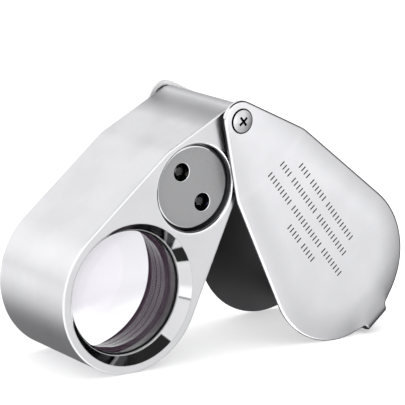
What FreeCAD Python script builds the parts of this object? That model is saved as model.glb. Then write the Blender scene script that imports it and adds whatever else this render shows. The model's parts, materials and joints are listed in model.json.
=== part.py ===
import FreeCAD, Part
import math
import os

from FreeCAD import Placement, Rotation, Vector
import Sketcher

# A folding pocket loupe with two lights, stood open like a tent.
#
# Row frame: +Z up, X along the spread of the two halves, Y along the lens axis with the front at -Y.
# The origin is on the floor, below the middle of the object.
#
# Every piece is drawn in a half's own frame: origin on the hinge axis, +Y from the lens towards the
# hinge, +Z out of the front face, and the middle of the housing's depth at Z = 0. Round pieces are
# drawn about their own Z axis. Placements carry both into the row frame.

# alias: (value in millimetres or degrees, what it is)
DRIVING = {
    "housing_depth": (23.2, "depth of the lens housing along the lens axis"),
    "cover_gap": (0.85, "air between the housing and each cover plate"),
    "sheet_thickness": (1.1, "thickness of the cover's sheet metal"),
    "opening_angle": (75.6, "angle between the housing and the cover, in degrees"),
    "cover_lobe_distance": (40.5, "hinge axis to the centre of the cover's round end"),
    "cover_lobe_radius": (16.4, "radius of the cover's round end"),
    "cover_hinge_radius": (3.9, "radius of the cover's hinge end"),
    "cover_shoulder_radius": (8.4, "radius of the cover outline's shoulder"),
    "outline_inset": (0.8, "how far the housing's outline lies inside the cover's"),
    "flare_angle": (25.8, "slope of the outline beside the hinge, in degrees"),
    "flank_angle": (13.1, "slope of the outline beside the lens, in degrees"),
    "housing_edge_radius": (0.35, "rounding of the housing's outer edges"),
    "cover_edge_radius": (0.5, "rounding of the cover's outer edges"),
    "strap_width": (6.2, "width of the strap that joins the cover plates"),
    "strap_reach": (58.7, "hinge axis to the strap's outer face"),
    "strap_bend_radius": (2.2, "outer radius of the strap's bends"),
    "strap_root_radius": (0.9, "fillet where the strap leaves the round end"),
    "lens_distance": (39.5, "hinge axis to the lens axis and the housing's round end"),
    "bezel_radius": (14.0, "radius of the recess for a bezel ring"),
    "bezel_depth": (3.1, "depth of a bezel ring"),
    "bevel_depth": (2.1, "depth of a bezel ring's polished cone"),
    "bezel_bore_radius": (12.3, "clear radius of a bezel ring"),
    "ring_bore_radius": (12.0, "clear radius of a retaining ring"),
    "ring_height": (0.5, "height of a retaining ring"),
    "lens_radius": (12.45, "radius of a lens element, nominally 25 mm across"),
    "lens_edge": (4.8, "edge thickness of a lens element"),
    "lens_curve": (40.0, "radius of a lens element's domed face"),
    "barrel_wall": (0.38, "wall of the lens barrel"),
    "spacer_wall": (0.75, "wall of the ring between the lens elements"),
    "groove_count": (2, "fine grooves inside that ring"),
    "groove_depth": (0.15, "depth of each groove"),
    "groove_width": (0.3, "width of each groove"),
    "light_distance": (15.6, "hinge axis to the centre of the light plate"),
    "light_plate_radius": (8.5, "radius of the light plate"),
    "light_plate_recess": (1.25, "how far the light plate lies below the front face"),
    "light_plate_thickness": (1.5, "thickness of the light plate"),
    "light_plate_edge": (0.7, "rounding of the light plate's edge"),
    "light_hole_edge": (0.15, "rounding of the holes in the light plate"),
    "light_rim_radius": (0.5, "rounding of the recess round the light plate"),
    "light_offset": (4.05, "centre of the light plate to each light"),
    "light_angle": (-15.8, "slope of the line through the lights, in degrees"),
    "light_hole_radius": (1.75, "radius of the holes in the light plate"),
    "led_radius": (1.5, "radius of a 3 mm light"),
    "led_height": (5.3, "height of a 3 mm light without its leads"),
    "led_sink": (1.6, "how far a light's tip lies below the front face"),
    "led_flange_width": (0.4, "how far a light's flange stands out from its body"),
    "led_flange_height": (1.0, "height of the flange"),
    "lead_spacing": (2.54, "distance between a light's leads"),
    "lead_width": (0.44, "width of a lead, which is square"),
    "lead_tail": (0.5, "how far the leads stand out behind the board"),
    "lead_hole_radius": (0.4, "radius of the board's holes for the leads"),
    "board_thickness": (1.0, "thickness of the circuit board"),
    "bay_radius": (8.1, "radius of the bay behind the light plate"),
    "bay_slack": (0.2, "air between the bay's wall and what stands in it"),
    "cell_radius": (5.8, "radius of a button cell"),
    "cell_height": (3.05, "height of a button cell"),
    "cell_step": (0.45, "height of the step round a cell's negative cap"),
    "leaf_thickness": (0.25, "thickness of the switch leaf"),
    "board_spring_height": (1.5, "height of the spring on the board"),
    "cap_radius": (7.0, "radius of the battery cap"),
    "cap_sink": (0.4, "how far the cap lies below the rear face"),
    "cap_wall": (3.2, "thickness of the housing's wall round the cap"),
    "cap_plate": (2.25, "thickness of the cap's disc"),
    "cap_turn": (60.0, "turn that frees the cap's lugs, in degrees"),
    "lug_width": (3.0, "width of the cap's bayonet lugs"),
    "lug_thickness": (0.6, "thickness of the lugs"),
    "lug_gap": (0.2, "air below and beside a lug"),
    "lug_reach": (7.75, "cap axis to the end of a lug"),
    "seal_section_radius": (0.4, "section radius of the seal ring"),
    "pivot_radius": (1.9, "radius of the hinge barrel"),
    "running_clearance": (0.05, "radial clearance of every running or drop-in fit"),
    "press_gap": (0.03, "radial gap where one piece is pressed or screwed into another"),
    "screw_head_radius": (2.2, "radius of a hinge screw's head"),
    "screw_head_gap": (0.25, "gap between a screw's head and its counterbore"),
    "screw_head_sink": (0.5, "depth of the counterbore for a screw's head"),
    "screw_shank_radius": (1.2, "radius of a hinge screw's shank"),
    "screw_shank_length": (5.6, "length of a hinge screw's shank"),
    "screw_head_rise": (0.1, "how far the rim of a screw's head stands above the cover"),
    "screw_head_crown": (0.4, "how far the middle of the head stands above the cover"),
    "screw_recess_arm": (1.1, "reach of the cross recess from the screw's axis"),
    "screw_recess_width": (0.5, "width of the cross recess"),
    "screw_recess_depth": (0.75, "depth of the cross recess below the crown"),
    "washer_radius": (3.0, "outer radius of a friction washer"),
}

doc = FreeCAD.newDocument("folding_loupe")
sheet = doc.addObject("Spreadsheet::Sheet", "sizes")
for row, (alias, (value, note)) in enumerate(DRIVING.items(), start=1):
    sheet.set(f"A{row}", note)
    sheet.set(f"B{row}", str(value))
    sheet.setAlias(f"B{row}", alias)
doc.recompute()


class Size:
    """A number together with the expression that ties it to the sheet."""

    def __init__(self, value, text):
        self.value = float(value)
        self.text = text

    def __add__(self, other):
        other = as_size(other)
        return Size(self.value + other.value, f"({self.text} + {other.text})")

    def __sub__(self, other):
        other = as_size(other)
        return Size(self.value - other.value, f"({self.text} - {other.text})")

    def __mul__(self, other):
        other = as_size(other)
        return Size(self.value * other.value, f"({self.text} * {other.text})")

    def __truediv__(self, other):
        other = as_size(other)
        return Size(self.value / other.value, f"({self.text} / {other.text})")

    def __neg__(self):
        return Size(-self.value, f"(0 - {self.text})")

    def root(self):
        return Size(math.sqrt(self.value), f"sqrt({self.text})")


def as_size(number):
    if isinstance(number, Size):
        return number
    return Size(number, f"({number})")


def size(alias):
    return Size(sheet.get(alias), f"sizes.{alias}")


# Sizes worked out from the driving ones.

HALF_DEPTH = size("housing_depth") / 2
PLATE_INSIDE = HALF_DEPTH + size("cover_gap")
PLATE_OUTSIDE = PLATE_INSIDE + size("sheet_thickness")
CLEARANCE = size("running_clearance")
PRESS_GAP = size("press_gap")

HOUSING_OUTLINE = {
    "hinge": size("cover_hinge_radius") - size("outline_inset"),
    "shoulder": size("cover_shoulder_radius") - size("outline_inset"),
    "lobe": size("cover_lobe_radius") - size("outline_inset"),
    "reach": size("lens_distance"),
}
COVER_OUTLINE = {
    "hinge": size("cover_hinge_radius"),
    "shoulder": size("cover_shoulder_radius"),
    "lobe": size("cover_lobe_radius"),
    "reach": size("cover_lobe_distance"),
}

GLASS_FACE = HALF_DEPTH - size("bezel_depth")
LENS_RIM = GLASS_FACE - size("lens_edge")
BARREL_BORE = size("lens_radius") + CLEARANCE
BARREL_RADIUS = BARREL_BORE + size("barrel_wall")

PLATE_TOP = HALF_DEPTH - size("light_plate_recess")
PLATE_SEAT = PLATE_TOP - size("light_plate_thickness")
LED_TIP = HALF_DEPTH - size("led_sink")
BOARD_FRONT = LED_TIP - size("led_height")
BOARD_BACK = BOARD_FRONT - size("board_thickness")
CELLS_FRONT = BOARD_BACK - size("board_spring_height")
CELLS_REAR = CELLS_FRONT - size("cell_height") * 3
CAP_FACE = size("cap_sink") - HALF_DEPTH
CAP_INSIDE = CAP_FACE + size("cap_plate")
BAY_FLOOR = size("cap_wall") - HALF_DEPTH
LUG_LOW = BAY_FLOOR + size("lug_gap")
LUG_HIGH = LUG_LOW + size("lug_thickness")
SLEEVE_FRONT = BOARD_BACK - size("lead_tail")
SLEEVE_REAR = LUG_HIGH + size("lug_gap") + 0.1
SAME = 1e-4


# Where the two halves stand in the row frame. The housing leans so far that both round ends
# touch the floor.

opening = math.radians(size("opening_angle").value)
housing_reach = HOUSING_OUTLINE["reach"].value
housing_lobe = HOUSING_OUTLINE["lobe"].value
cover_reach = COVER_OUTLINE["reach"].value
cover_lobe = COVER_OUTLINE["lobe"].value
level_cosine = housing_reach - cover_reach * math.cos(opening)
level_sine = cover_reach * math.sin(opening)
level_ratio = (cover_lobe - housing_lobe) / math.hypot(level_cosine, level_sine)
housing_lean = math.acos(level_ratio) - math.atan2(level_sine, level_cosine)
cover_lean = opening - housing_lean
left_reach = housing_reach * math.sin(housing_lean) + housing_lobe
right_reach = cover_reach * math.sin(cover_lean) + cover_lobe
hinge_height = cover_reach * math.cos(cover_lean) + cover_lobe
hinge_point = Vector((left_reach - right_reach) / 2, 0, hinge_height)

FACE_FORWARD = Rotation(Vector(1, 0, 0), 90)


def half_placement(lean):
    """Placement of a half's own frame; a positive lean tips its round end towards -X."""
    upright = Placement(Vector(0, 0, 0), FACE_FORWARD)
    return Placement(hinge_point, Rotation(Vector(0, 1, 0), math.degrees(lean))) * upright


HOUSING_FRAME = half_placement(housing_lean)
COVER_FRAME = half_placement(-cover_lean)


def along(frame, distance, turn=0.0):
    """A frame moved down a half by distance and turned about the lens direction."""
    return frame * Placement(Vector(0, -distance, 0), Rotation(Vector(0, 0, 1), turn))


def back_to_front(frame):
    """A frame turned to face the rear, about its X axis."""
    return frame * Placement(Vector(0, 0, 0), Rotation(Vector(1, 0, 0), 180))


LENS_FRAME = along(HOUSING_FRAME, size("lens_distance").value)
LIGHT_FRAME = along(HOUSING_FRAME, size("light_distance").value, size("light_angle").value)
CAP_FRAME = along(HOUSING_FRAME, size("light_distance").value)


# Tools for sketches and features.

sub_parts = []


def new_body(label, placement):
    body = doc.addObject("PartDesign::Body", label)
    body.Label = label
    body.Placement = placement
    sub_parts.append(body)
    return body


def bind(target, path, length):
    target.setExpression(path, as_size(length).text)


def sketch_on(body, role, offset=None):
    """A sketch on one of the body's origin planes, raised along the plane's normal."""
    plane = next(f for f in body.Origin.OriginFeatures if f.Role == role)
    sketch = body.newObject("Sketcher::SketchObject", f"{body.Label}_sketch")
    sketch.AttachmentSupport = [(plane, "")]
    sketch.MapMode = "FlatFace"
    if offset is not None:
        bind(sketch, "AttachmentOffset.Base.z", offset)
    return sketch


def constrain(sketch, *arguments, length=None):
    """Adds a constraint, and ties it to the sheet when it has a length."""
    if length is None:
        sketch.addConstraint(Sketcher.Constraint(*arguments))
        return
    number = sketch.addConstraint(Sketcher.Constraint(*arguments, as_size(length).value))
    bind(sketch, f"Constraints[{number}]", length)


def place_point(sketch, geometry, point, x, y):
    """Fixes a point of the sketch at x, y."""
    if as_size(x).value == 0:
        constrain(sketch, "PointOnObject", geometry, point, -2)
    else:
        constrain(sketch, "DistanceX", -1, 1, geometry, point, length=x)
    if as_size(y).value == 0:
        constrain(sketch, "PointOnObject", geometry, point, -1)
    else:
        constrain(sketch, "DistanceY", -1, 1, geometry, point, length=y)


def draw_circle(sketch, radius, x=0, y=0):
    centre = Vector(as_size(x).value, as_size(y).value, 0)
    geometry = sketch.addGeometry(Part.Circle(centre, Vector(0, 0, 1), as_size(radius).value))
    place_point(sketch, geometry, 3, x, y)
    constrain(sketch, "Radius", geometry, length=radius)


def draw_profile(sketch, corners, domes=()):
    """A closed outline through the corners. A side whose number is in domes is an arc centred on
    the sketch's vertical axis that ends on that axis."""
    ends = []
    points = [Vector(as_size(x).value, as_size(y).value, 0) for x, y in corners]
    for side, start in enumerate(points):
        stop = points[(side + 1) % len(points)]
        if side not in domes:
            geometry = sketch.addGeometry(Part.LineSegment(start, stop))
            ends.append((geometry, 1, 2))
            continue
        rise = stop.y - start.y
        radius = (start.x**2 + rise**2) / (2 * abs(rise))
        centre = Vector(0, stop.y - math.copysign(radius, rise), 0)
        corner_angle = math.atan2(start.y - centre.y, start.x)
        angles = sorted((corner_angle, math.copysign(math.pi / 2, rise)))
        arc = Part.ArcOfCircle(Part.Circle(centre, Vector(0, 0, 1), radius), *angles)
        geometry = sketch.addGeometry(arc)
        constrain(sketch, "PointOnObject", geometry, 3, -2)
        ends.append((geometry, 1, 2) if rise > 0 else (geometry, 2, 1))
    for side, (geometry, start, stop) in enumerate(ends):
        next_geometry, next_start, _ = ends[(side + 1) % len(ends)]
        constrain(sketch, "Coincident", geometry, stop, next_geometry, next_start)
        place_point(sketch, geometry, start, *corners[side])


def draw_rectangle(sketch, left, right, low, high):
    draw_profile(sketch, [(left, low), (right, low), (right, high), (left, high)])


def draw_teardrop(sketch, outline):
    """The outline of both halves: a small round end on the hinge, straight flares, shoulders,
    straight flanks, and a large round end."""
    flare = math.radians(size("flare_angle").value)
    flank = math.radians(size("flank_angle").value)
    hinge, shoulder, lobe, reach = (
        outline[key].value for key in ("hinge", "shoulder", "lobe", "reach")
    )
    flare_normal = Vector(math.cos(flare), math.sin(flare), 0)
    flank_normal = Vector(math.cos(flank), math.sin(flank), 0)
    lobe_centre = Vector(0, -reach, 0)
    flare_reach = hinge - shoulder
    flank_reach = lobe - shoulder + lobe_centre.dot(flank_normal)
    turn = math.sin(flank - flare)
    knee = Vector(
        (flare_reach * math.sin(flank) - flank_reach * math.sin(flare)) / turn,
        (flank_reach * math.cos(flare) - flare_reach * math.cos(flank)) / turn,
        0,
    )

    def mirrored(point):
        return Vector(-point.x, point.y, 0)

    def arc(centre, radius, start, stop):
        return Part.ArcOfCircle(Part.Circle(centre, Vector(0, 0, 1), radius), start, stop)

    hinge_tangent = flare_normal * hinge
    knee_top = knee + flare_normal * shoulder
    knee_low = knee + flank_normal * shoulder
    lobe_tangent = lobe_centre + flank_normal * lobe
    sketch.addGeometry(arc(Vector(0, 0, 0), hinge, flare, math.pi - flare))
    sketch.addGeometry(Part.LineSegment(hinge_tangent, knee_top))
    sketch.addGeometry(arc(knee, shoulder, flank, flare))
    sketch.addGeometry(Part.LineSegment(knee_low, lobe_tangent))
    sketch.addGeometry(arc(lobe_centre, lobe, math.pi - flank, 2 * math.pi + flank))
    sketch.addGeometry(Part.LineSegment(mirrored(lobe_tangent), mirrored(knee_low)))
    sketch.addGeometry(arc(mirrored(knee), shoulder, math.pi - flare, math.pi - flank))
    sketch.addGeometry(Part.LineSegment(mirrored(knee_top), mirrored(hinge_tangent)))
    joints = [(0, 1, 1, 1), (1, 2, 2, 2), (2, 1, 3, 1), (3, 2, 4, 2)]
    joints += [(4, 1, 5, 1), (5, 2, 6, 2), (6, 1, 7, 1), (7, 2, 0, 2)]
    for ends in joints:
        constrain(sketch, "Tangent", *ends)
    place_point(sketch, 0, 3, 0, 0)
    place_point(sketch, 4, 3, 0, -outline["reach"])
    for geometry, key in ((0, "hinge"), (2, "shoulder"), (6, "shoulder"), (4, "lobe")):
        constrain(sketch, "Radius", geometry, length=outline[key])
    right_angle = math.pi / 2
    for geometry, slope, alias in ((1, flare, "flare_angle"), (3, flank, "flank_angle")):
        number = sketch.addConstraint(Sketcher.Constraint("Angle", geometry, slope - right_angle))
        bind(sketch, f"Constraints[{number}]", size(alias) - 90)
    for geometry, slope, alias in ((5, flank, "flank_angle"), (7, flare, "flare_angle")):
        number = sketch.addConstraint(Sketcher.Constraint("Angle", geometry, right_angle - slope))
        bind(sketch, f"Constraints[{number}]", as_size(90) - size(alias))


def feature(body, kind, sketch, **settings):
    """A PartDesign feature on a sketch, checked to have changed the body's volume the right way."""
    before = body.Shape.Volume if body.Tip else 0
    made = body.newObject(f"PartDesign::{kind}", f"{body.Label}_{kind}")
    made.Profile = sketch
    for name, value in settings.items():
        if isinstance(value, Size):
            bind(made, name, value)
        else:
            setattr(made, name, value)
    doc.recompute()
    grew = body.Shape.Volume > before
    if grew != (kind not in ("Pocket", "Groove")):
        raise RuntimeError(f"{made.Name} did not change {body.Label} as it should")
    return made


def pad(body, sketch, length, both_ways=False):
    return feature(body, "Pad", sketch, Length=as_size(length), Midplane=both_ways)


def pocket(body, sketch, length, towards_front=False):
    """Cuts from the sketch towards the rear, or towards the front."""
    return feature(body, "Pocket", sketch, Length=as_size(length), Reversed=towards_front)


def pocket_both_ways(body, sketch, length):
    return feature(body, "Pocket", sketch, Length=as_size(length), Midplane=True)


def revolve(body, corners, domes=()):
    """Turns a profile, drawn as radius and height, about the body's Z axis."""
    sketch = sketch_on(body, "XZ_Plane")
    draw_profile(sketch, corners, domes)
    return feature(body, "Revolution", sketch, ReferenceAxis=(sketch, ["V_Axis"]), Angle=360.0)


def round_edges(body, radius, chosen):
    """Fillets the edges of the body that chosen(edge) picks."""
    tip = body.Tip
    names = [f"Edge{n}" for n, edge in enumerate(tip.Shape.Edges, start=1) if chosen(edge)]
    if not names:
        raise RuntimeError(f"{body.Label} has no edge to round")
    fillet = body.newObject("PartDesign::Fillet", f"{body.Label}_Fillet")
    fillet.Base = (tip, names)
    bind(fillet, "Radius", radius)
    doc.recompute()
    return fillet


def lies_at(edge, axis, *places):
    """True when the whole edge is in a plane square to the axis, at one of the places."""
    box = edge.BoundBox
    low = getattr(box, f"{axis}Min")
    high = getattr(box, f"{axis}Max")
    return any(abs(low - place) < SAME and abs(high - place) < SAME for place in places)


def disc(body, radius, low, high, holes=()):
    """A flat round plate from low to high, with holes given as (radius, x, y)."""
    sketch = sketch_on(body, "XY_Plane", low)
    draw_circle(sketch, radius)
    for hole in holes:
        draw_circle(sketch, *hole)
    return pad(body, sketch, as_size(high) - low)


def cut_circle(body, radius, top, depth, x=0, y=0, towards_front=False):
    sketch = sketch_on(body, "XY_Plane", top)
    draw_circle(sketch, radius, x, y)
    return pocket(body, sketch, depth, towards_front)


# The lens housing and its optics.


def make_lens_housing():
    body = new_body("lens_housing", HOUSING_FRAME)
    outline = sketch_on(body, "XY_Plane")
    draw_teardrop(outline, HOUSING_OUTLINE)
    pad(body, outline, size("housing_depth"), both_ways=True)
    half = HALF_DEPTH.value
    round_edges(body, size("housing_edge_radius"), lambda edge: lies_at(edge, "Z", half, -half))

    lens_y = -size("lens_distance")
    bezel_recess = size("bezel_radius")
    cut_circle(body, BARREL_RADIUS + CLEARANCE, HALF_DEPTH, size("housing_depth"), 0, lens_y)
    cut_circle(body, bezel_recess, HALF_DEPTH, size("bezel_depth"), 0, lens_y)
    cut_circle(body, bezel_recess, -HALF_DEPTH, size("bezel_depth"), 0, lens_y, True)

    light_y = -size("light_distance")
    plate_bore = size("light_plate_radius") + CLEARANCE
    cut_circle(body, plate_bore, HALF_DEPTH, HALF_DEPTH - PLATE_SEAT, 0, light_y)
    round_edges(
        body,
        size("light_rim_radius"),
        lambda edge: lies_at(edge, "Z", half)
        and isinstance(edge.Curve, Part.Circle)
        and abs(edge.Curve.Radius - plate_bore.value) < SAME,
    )
    cut_circle(body, size("bay_radius"), HALF_DEPTH, HALF_DEPTH - BAY_FLOOR, 0, light_y)
    cap_bore = size("cap_radius") + CLEARANCE
    cut_circle(body, cap_bore, -HALF_DEPTH, size("cap_wall"), 0, light_y, True)
    cut_bayonet_notches(body)

    cut_circle(body, size("pivot_radius") + CLEARANCE, HALF_DEPTH, size("housing_depth"))
    cut_leaf_channel(body)


def cut_leaf_channel(body):
    """The channel that carries the switch leaf from the bay to the hinge bore."""
    bay_end = -9.0
    hinge_end = -1.0
    low = BOARD_BACK - size("leaf_thickness") - 0.45
    high = BOARD_BACK + 0.5
    width = 2.4
    sketch = sketch_on(body, "YZ_Plane")
    draw_rectangle(sketch, bay_end, hinge_end, low, high)
    pocket_both_ways(body, sketch, width)


def cut_bayonet_notches(body):
    """Two notches in the rim round the cap: the lugs stand in them after a full cap turn."""
    angle = -math.radians(size("cap_turn").value)
    reach = size("lug_reach").value + size("lug_gap").value
    half_width = size("lug_width").value / 2 + size("lug_gap").value
    along_notch = Vector(math.cos(angle), math.sin(angle), 0)
    across_notch = Vector(-math.sin(angle), math.cos(angle), 0)
    centre = Vector(0, -size("light_distance").value, 0)
    sketch = sketch_on(body, "XY_Plane", -HALF_DEPTH)
    signs = ((-1, -1), (1, -1), (1, 1), (-1, 1))
    corners = [centre + along_notch * (reach * u) + across_notch * (half_width * v) for u, v in signs]
    draw_profile(sketch, [(corner.x, corner.y) for corner in corners])
    pocket(body, sketch, size("cap_wall"), towards_front=True)


def make_bezel_ring(label, placement):
    """A ring let into the housing's face, with a polished cone down to the lens."""
    body = new_body(label, placement)
    outer = size("bezel_radius") - PRESS_GAP
    bore = size("bezel_bore_radius")
    lip = 0.07
    revolve(
        body,
        [
            (bore, GLASS_FACE),
            (outer, GLASS_FACE),
            (outer, HALF_DEPTH),
            (outer - lip, HALF_DEPTH),
            (bore, HALF_DEPTH - size("bevel_depth")),
        ],
    )


def make_retaining_ring(label, placement):
    """The black ring that holds a lens element against the spacer."""
    body = new_body(label, placement)
    outer = size("bezel_bore_radius") - PRESS_GAP
    bore = size("ring_bore_radius")
    top = GLASS_FACE + size("ring_height")
    chamfer = 0.12
    revolve(
        body,
        [
            (bore, GLASS_FACE),
            (outer, GLASS_FACE),
            (outer, top),
            (bore + chamfer, top),
            (bore, top - chamfer),
        ],
    )


def make_lens(label, placement):
    """A plano-convex element, flat face outwards."""
    body = new_body(label, placement)
    radius = size("lens_radius")
    curve = size("lens_curve")
    sag = curve - (curve * curve - radius * radius).root()
    apex = LENS_RIM - sag
    corners = [(0, GLASS_FACE), (radius, GLASS_FACE), (radius, LENS_RIM), (0, apex)]
    revolve(body, corners, domes=(2,))


def make_lens_barrel():
    body = new_body("lens_barrel", LENS_FRAME)
    disc(body, BARREL_RADIUS, -GLASS_FACE, GLASS_FACE, holes=((BARREL_BORE,),))


def make_lens_spacer():
    """The ring between the elements: its ends clear the domed faces, its bore is grooved."""
    body = new_body("lens_spacer", LENS_FRAME)
    outer = size("lens_radius")
    bore = outer - size("spacer_wall")
    bevel = 0.5
    end = LENS_RIM - bevel
    groove_bottom = bore + size("groove_depth")
    half_groove = size("groove_width") / 2
    count = int(size("groove_count").value)
    pitch = (end * 2) / (count + 1)
    corners = [(outer, -LENS_RIM), (outer, LENS_RIM), (bore, end)]
    for groove in range(1, count + 1):
        middle = end - pitch * groove
        corners += [(bore, middle + half_groove), (groove_bottom, middle), (bore, middle - half_groove)]
    corners.append((bore, -end))
    revolve(body, corners)


# The lights, their board and the cells.


def make_light_plate():
    body = new_body("led_plate", LIGHT_FRAME)
    hole = size("light_hole_radius")
    offset = size("light_offset")
    disc(body, size("light_plate_radius"), PLATE_SEAT, PLATE_TOP, ((hole, offset), (hole, -offset)))
    top = PLATE_TOP.value

    def is_hole(edge):
        return abs(edge.Curve.Radius - hole.value) < SAME

    round_edges(
        body, size("light_plate_edge"), lambda edge: lies_at(edge, "Z", top) and not is_hole(edge)
    )
    round_edges(body, size("light_hole_edge"), lambda edge: lies_at(edge, "Z", top) and is_hole(edge))


def make_led(label, side):
    """A 3 mm light: domed body, flange, and two square leads through the board."""
    centre = Vector(side * size("light_offset").value, 0, 0)
    body = new_body(label, LIGHT_FRAME * Placement(centre, Rotation()))
    radius = size("led_radius")
    flange_radius = radius + size("led_flange_width")
    flange_top = BOARD_FRONT + size("led_flange_height")
    revolve(
        body,
        [
            (0, BOARD_FRONT),
            (flange_radius, BOARD_FRONT),
            (flange_radius, flange_top),
            (radius, flange_top),
            (radius, LED_TIP - radius),
            (0, LED_TIP),
        ],
        domes=(4,),
    )
    leads = sketch_on(body, "XY_Plane", BOARD_BACK - size("lead_tail"))
    half_lead = size("lead_width") / 2
    for sign in (-1, 1):
        middle = size("lead_spacing") / 2 * sign
        draw_rectangle(leads, -half_lead, half_lead, middle - half_lead, middle + half_lead)
    pad(body, leads, size("board_thickness") + size("lead_tail"))


def make_led_board():
    """A round board with four holes for the lights' leads."""
    body = new_body("led_board", LIGHT_FRAME)
    offset = size("light_offset")
    lead = size("lead_spacing") / 2
    hole = size("lead_hole_radius")
    holes = [(hole, offset * u, lead * v) for u in (-1, 1) for v in (-1, 1)]
    disc(body, size("bay_radius") - size("bay_slack"), BOARD_BACK, BOARD_FRONT, holes)


def make_led_resistor():
    """A 1.6 x 0.8 mm chip on the front of the board, between the lights and the edge."""
    body = new_body("led_resistor", LIGHT_FRAME)
    half_length = 0.8
    near_side = 3.1
    far_side = 3.9
    height = 0.45
    sketch = sketch_on(body, "XY_Plane", BOARD_FRONT)
    draw_rectangle(sketch, -half_length, half_length, near_side, far_side)
    pad(body, sketch, height)


def make_battery_sleeve():
    """The tube that keeps the cells from the housing's metal."""
    body = new_body("battery_sleeve", LIGHT_FRAME)
    bore = size("cell_radius") + 0.15
    outer = size("bay_radius") - size("bay_slack")
    disc(body, outer, SLEEVE_REAR, SLEEVE_FRONT, holes=((bore,),))


def make_button_cells():
    """Three stacked cells, each a can with a narrower cap on its front."""
    radius = size("cell_radius")
    cap_radius = radius * 0.82
    chamfer = 0.2
    for number, label in enumerate(("button_cell_front", "button_cell_middle", "button_cell_rear")):
        body = new_body(label, LIGHT_FRAME)
        top = CELLS_FRONT - size("cell_height") * number
        low = top - size("cell_height")
        shoulder = top - size("cell_step")
        revolve(
            body,
            [
                (0, low),
                (radius - chamfer, low),
                (radius, low + chamfer),
                (radius, shoulder),
                (cap_radius, shoulder),
                (cap_radius, top),
                (0, top),
            ],
        )


def make_spring(label, low, height, radius, turns):
    """A coiled contact spring that fills the height above low but for a hair at each end."""
    wire = 0.2
    hair = 0.02
    body = new_body(label, LIGHT_FRAME * Placement(Vector(0, 0, low.value), Rotation()))
    sketch = sketch_on(body, "XZ_Plane")
    draw_circle(sketch, wire, radius, wire + hair)
    feature(
        body,
        "AdditiveHelix",
        sketch,
        ReferenceAxis=(sketch, ["V_Axis"]),
        Mode="height-turns-growth",
        Height=height - 2 * (wire + hair),
        Turns=turns,
        Growth=0.0,
    )


def make_switch_leaf():
    """A strip on the back of the board whose tip stands at the hinge barrel."""
    body = new_body("switch_leaf", HOUSING_FRAME)
    sketch = sketch_on(body, "XY_Plane", BOARD_BACK - size("leaf_thickness"))
    half_width = 0.8
    half_tip = 0.35
    root = -10.0
    taper = -3.2
    tip = -size("pivot_radius") - 0.15
    corners = [(-half_width, root), (half_width, root), (half_width, taper)]
    corners += [(half_tip, tip), (-half_tip, tip), (-half_width, taper)]
    draw_profile(sketch, corners)
    pad(body, sketch, size("leaf_thickness"))


# The battery cap.


def make_battery_cap():
    """A slotted disc with a seal groove, a skirt, and two bayonet lugs."""
    body = new_body("battery_cap", CAP_FRAME)
    radius = size("cap_radius")
    section = size("seal_section_radius")
    seal_middle = (CAP_FACE + CAP_INSIDE) / 2
    groove_low = seal_middle - section - CLEARANCE
    groove_high = seal_middle + section + CLEARANCE
    groove_radius = radius - section * 2
    skirt_bore = size("cell_radius") + 0.2
    skirt_radius = radius - 0.1
    chamfer = 0.25
    revolve(
        body,
        [
            (0, CAP_FACE),
            (radius - chamfer, CAP_FACE),
            (radius, CAP_FACE + chamfer),
            (radius, groove_low),
            (groove_radius, groove_low),
            (groove_radius, groove_high),
            (radius, groove_high),
            (radius, CAP_INSIDE),
            (skirt_radius, CAP_INSIDE),
            (skirt_radius, LUG_HIGH),
            (skirt_bore, LUG_HIGH),
            (skirt_bore, CAP_INSIDE),
            (0, CAP_INSIDE),
        ],
    )
    half_lug = size("lug_width") / 2
    lugs = sketch_on(body, "XY_Plane", LUG_LOW)
    lug_root = skirt_bore + 0.2
    lug_end = size("lug_reach")
    draw_rectangle(lugs, -lug_end, -lug_root, -half_lug, half_lug)
    draw_rectangle(lugs, lug_root, lug_end, -half_lug, half_lug)
    pad(body, lugs, LUG_HIGH - LUG_LOW)
    slot = sketch_on(body, "XY_Plane", CAP_FACE)
    half_slot_length = 5.2
    half_slot_width = 0.7
    slot_depth = 0.8
    draw_rectangle(slot, -half_slot_length, half_slot_length, -half_slot_width, half_slot_width)
    pocket(body, slot, slot_depth, towards_front=True)


def make_cap_seal():
    """The rubber ring in the cap's groove."""
    ring = doc.addObject("Part::Torus", "cap_seal_ring")
    ring.Label = "cap_seal_ring"
    section = size("seal_section_radius")
    squeeze = 0.01
    bind(ring, "Radius1", size("cap_radius") - section + squeeze)
    bind(ring, "Radius2", section)
    middle = (CAP_FACE + CAP_INSIDE) / 2
    ring.Placement = CAP_FRAME * Placement(Vector(0, 0, middle.value), Rotation())
    sub_parts.append(ring)


# The cover and its hinge.


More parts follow.
